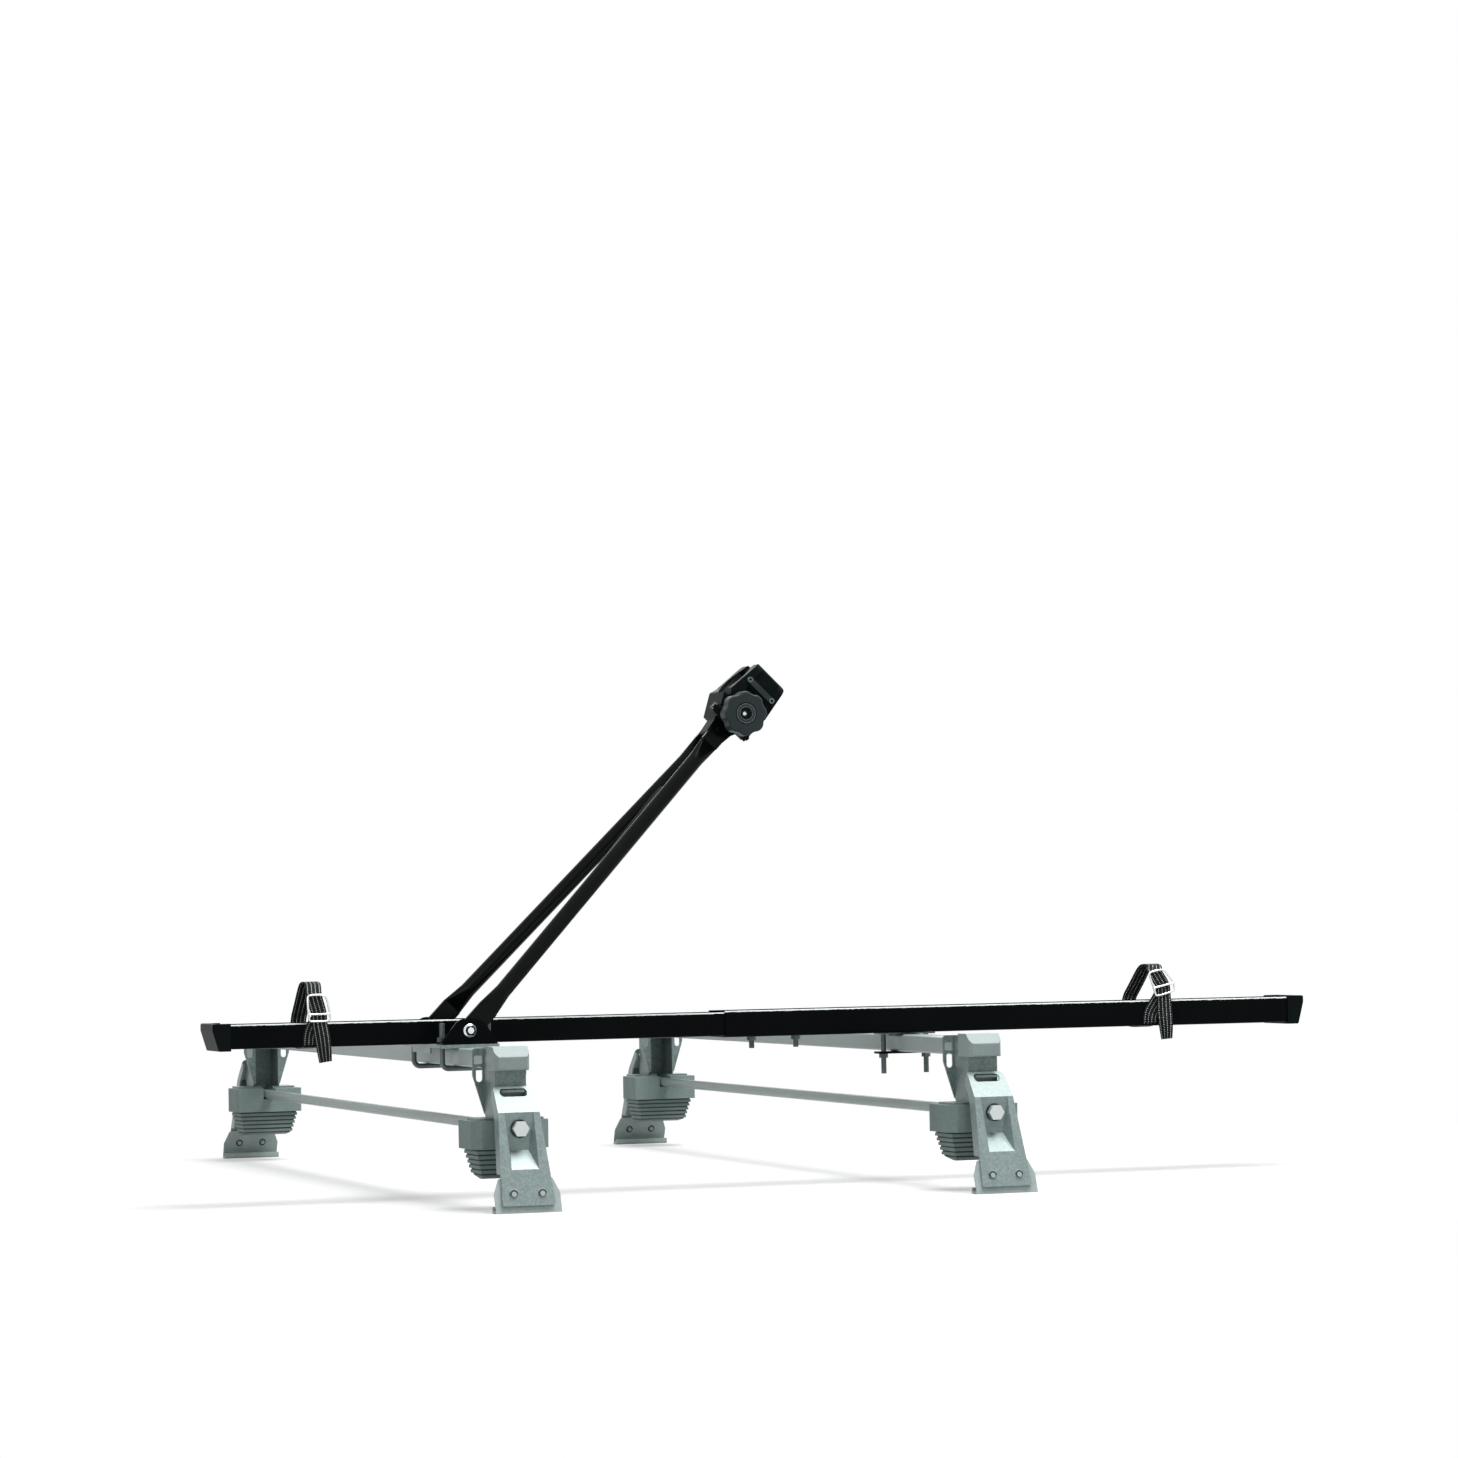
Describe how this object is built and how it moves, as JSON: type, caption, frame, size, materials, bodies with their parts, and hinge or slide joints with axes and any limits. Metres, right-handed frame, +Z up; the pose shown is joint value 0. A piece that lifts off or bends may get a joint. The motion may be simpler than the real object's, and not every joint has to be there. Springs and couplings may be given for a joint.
{
  "type": "roof rack crossbar set with cycle carrier",
  "caption": "Roof rack of clamp-on crossbars with an upright cycle carrier: tray, folding arm, knob-tightened frame clamp and wheel straps.",
  "frame": {"origin": "on the ground under the middle of the rack's bounding box", "axes": "+X along the wheel tray to the rear, +Y along the crossbars away from the carrier, +Z up"},
  "size_m": [1.35, 1.3098, 0.6083],
  "materials": {
    "bar_grey": "satin",
    "zinc_steel": "satin",
    "hook_steel": "satin",
    "cover_plastic": "matte",
    "pad_rubber": "matte",
    "bolt_zinc": "satin",
    "carrier_black": "gloss",
    "black_plastic": "matte",
    "liner_rubber": "matte",
    "bright_wire": "polished",
    "dark_steel": "satin",
    "webbing": "woven"
  },
  "bodies": {
    "rack": {"clamp_nuts": "bright_wire", "front_crossbar_tube": "bar_grey", "front_far_end_cover": "cover_plastic", "front_far_pad": "pad_rubber", "front_far_tower": "zinc_steel", "front_near_end_cover": "cover_plastic", "front_near_pad": "pad_rubber", "front_near_tower": "zinc_steel", "front_strap": "webbing", "front_tie_rod": "bar_grey", "front_tray": "carrier_black", "pivot_bolts": "bright_wire", "pivot_ears": "carrier_black", "rear_clamp_bolts": "bright_wire", "rear_clamp_strap": "carrier_black", "rear_crossbar_tube": "bar_grey", "rear_far_end_cover": "cover_plastic", "rear_far_pad": "pad_rubber", "rear_far_tower": "zinc_steel", "rear_near_end_cover": "cover_plastic", "rear_near_pad": "pad_rubber", "rear_near_tower": "zinc_steel", "rear_spacer": "zinc_steel", "rear_strap": "webbing", "rear_tie_rod": "bar_grey", "rear_tray": "carrier_black", "saddle_plate": "zinc_steel", "strap_buckles": "bright_wire", "tray_end_caps": "black_plastic", "tray_joint_bolts": "bolt_zinc", "u_bolts": "bright_wire"},
    "front_near_clamp": {"front_near_clamp_plate": "zinc_steel", "front_near_hook_plate": "hook_steel"},
    "front_near_washer": {"front_near_clamp_washer": "bolt_zinc"},
    "front_near_bolt": {"front_near_clamp_bolt": "bolt_zinc"},
    "front_far_clamp": {"front_far_clamp_plate": "zinc_steel", "front_far_hook_plate": "hook_steel"},
    "front_far_washer": {"front_far_clamp_washer": "bolt_zinc"},
    "front_far_bolt": {"front_far_clamp_bolt": "bolt_zinc"},
    "rear_near_clamp": {"rear_near_clamp_plate": "zinc_steel", "rear_near_hook_plate": "hook_steel"},
    "rear_near_washer": {"rear_near_clamp_washer": "bolt_zinc"},
    "rear_near_bolt": {"rear_near_clamp_bolt": "bolt_zinc"},
    "rear_far_clamp": {"rear_far_clamp_plate": "zinc_steel", "rear_far_hook_plate": "hook_steel"},
    "rear_far_washer": {"rear_far_clamp_washer": "bolt_zinc"},
    "rear_far_bolt": {"rear_far_clamp_bolt": "bolt_zinc"},
    "arm": {"near_leg": "carrier_black", "far_leg": "carrier_black", "arm_brace_rod": "carrier_black", "arm_head_bolt": "carrier_black", "fixed_jaw": "black_plastic", "fixed_jaw_liner": "liner_rubber", "jaw_hinge_pin": "carrier_black"},
    "jaw": {"moving_jaw": "black_plastic", "moving_jaw_liner": "liner_rubber", "jaw_link": "dark_steel"},
    "knob_carrier": {"knob_washer": "bolt_zinc"},
    "knob": {"knob": "black_plastic"},
    "lock": {"lock_cylinder": "bright_wire"}
  },
  "joints": [
    {"name": "front_near_bolt_out", "type": "slide", "parent": "rack", "child": "front_near_washer", "axis": [0, -1, 0], "range_m": [0, 0.008]},
    {"name": "front_near_bolt_turn", "type": "hinge", "parent": "front_near_washer", "child": "front_near_bolt", "pos_m": [-0.392, -0.62, 0.089], "axis": [0, -1, 0], "range_deg": [0, 2304]},
    {"name": "front_near_clamp_swing", "type": "hinge", "parent": "rack", "child": "front_near_clamp", "pos_m": [-0.392, -0.597, 0.1315], "axis": [-1, 0, 0], "range_deg": [0, 8]},
    {"name": "front_far_bolt_out", "type": "slide", "parent": "rack", "child": "front_far_washer", "axis": [0, 1, 0], "range_m": [0, 0.008]},
    {"name": "front_far_bolt_turn", "type": "hinge", "parent": "front_far_washer", "child": "front_far_bolt", "pos_m": [-0.392, 0.62, 0.089], "axis": [0, 1, 0], "range_deg": [0, 2304]},
    {"name": "front_far_clamp_swing", "type": "hinge", "parent": "rack", "child": "front_far_clamp", "pos_m": [-0.392, 0.597, 0.1315], "axis": [1, 0, 0], "range_deg": [0, 8]},
    {"name": "rear_near_bolt_out", "type": "slide", "parent": "rack", "child": "rear_near_washer", "axis": [0, -1, 0], "range_m": [0, 0.008]},
    {"name": "rear_near_bolt_turn", "type": "hinge", "parent": "rear_near_washer", "child": "rear_near_bolt", "pos_m": [0.165, -0.62, 0.089], "axis": [0, -1, 0], "range_deg": [0, 2304]},
    {"name": "rear_near_clamp_swing", "type": "hinge", "parent": "rack", "child": "rear_near_clamp", "pos_m": [0.165, -0.597, 0.1315], "axis": [-1, 0, 0], "range_deg": [0, 8]},
    {"name": "rear_far_bolt_out", "type": "slide", "parent": "rack", "child": "rear_far_washer", "axis": [0, 1, 0], "range_m": [0, 0.008]},
    {"name": "rear_far_bolt_turn", "type": "hinge", "parent": "rear_far_washer", "child": "rear_far_bolt", "pos_m": [0.165, 0.62, 0.089], "axis": [0, 1, 0], "range_deg": [0, 2304]},
    {"name": "rear_far_clamp_swing", "type": "hinge", "parent": "rack", "child": "rear_far_clamp", "pos_m": [0.165, 0.597, 0.1315], "axis": [1, 0, 0], "range_deg": [0, 8]},
    {"name": "arm_fold", "type": "hinge", "parent": "rack", "child": "arm", "pos_m": [-0.392, -0.355, 0.1915], "axis": [0, 1, 0], "range_deg": [-50, 36]},
    {"name": "knob_out", "type": "slide", "parent": "arm", "child": "knob_carrier", "axis": [0, -1, 0], "range_m": [0, 0.009]},
    {"name": "knob_turn", "type": "hinge", "parent": "knob_carrier", "child": "knob", "pos_m": [-0.04675, -0.4, 0.54901], "axis": [0, -1, 0], "range_deg": [0, 1080]},
    {"name": "jaw_swing", "type": "hinge", "parent": "arm", "child": "jaw", "pos_m": [-0.05509, -0.38, 0.54038], "axis": [0.7193, 0, -0.6947], "range_deg": [0, 20]},
    {"name": "lock_turn", "type": "hinge", "parent": "knob", "child": "lock", "pos_m": [-0.04675, -0.41, 0.54901], "axis": [0, -1, 0], "range_deg": [0, 90]}
  ],
  "couplings": [
    {"joint": "front_near_bolt_turn", "follows": "front_near_bolt_out", "rad_per_m": 5026.5},
    {"joint": "front_near_clamp_swing", "follows": "front_near_bolt_out", "rad_per_m": 17.453},
    {"joint": "front_far_bolt_turn", "follows": "front_far_bolt_out", "rad_per_m": 5026.5},
    {"joint": "front_far_clamp_swing", "follows": "front_far_bolt_out", "rad_per_m": 17.453},
    {"joint": "rear_near_bolt_turn", "follows": "rear_near_bolt_out", "rad_per_m": 5026.5},
    {"joint": "rear_near_clamp_swing", "follows": "rear_near_bolt_out", "rad_per_m": 17.453},
    {"joint": "rear_far_bolt_turn", "follows": "rear_far_bolt_out", "rad_per_m": 5026.5},
    {"joint": "rear_far_clamp_swing", "follows": "rear_far_bolt_out", "rad_per_m": 17.453},
    {"joint": "knob_out", "follows": "knob_turn", "m_per_rad": 0.00047746},
    {"joint": "jaw_swing", "follows": "knob_turn", "ratio": 0.018519}
  ]
}
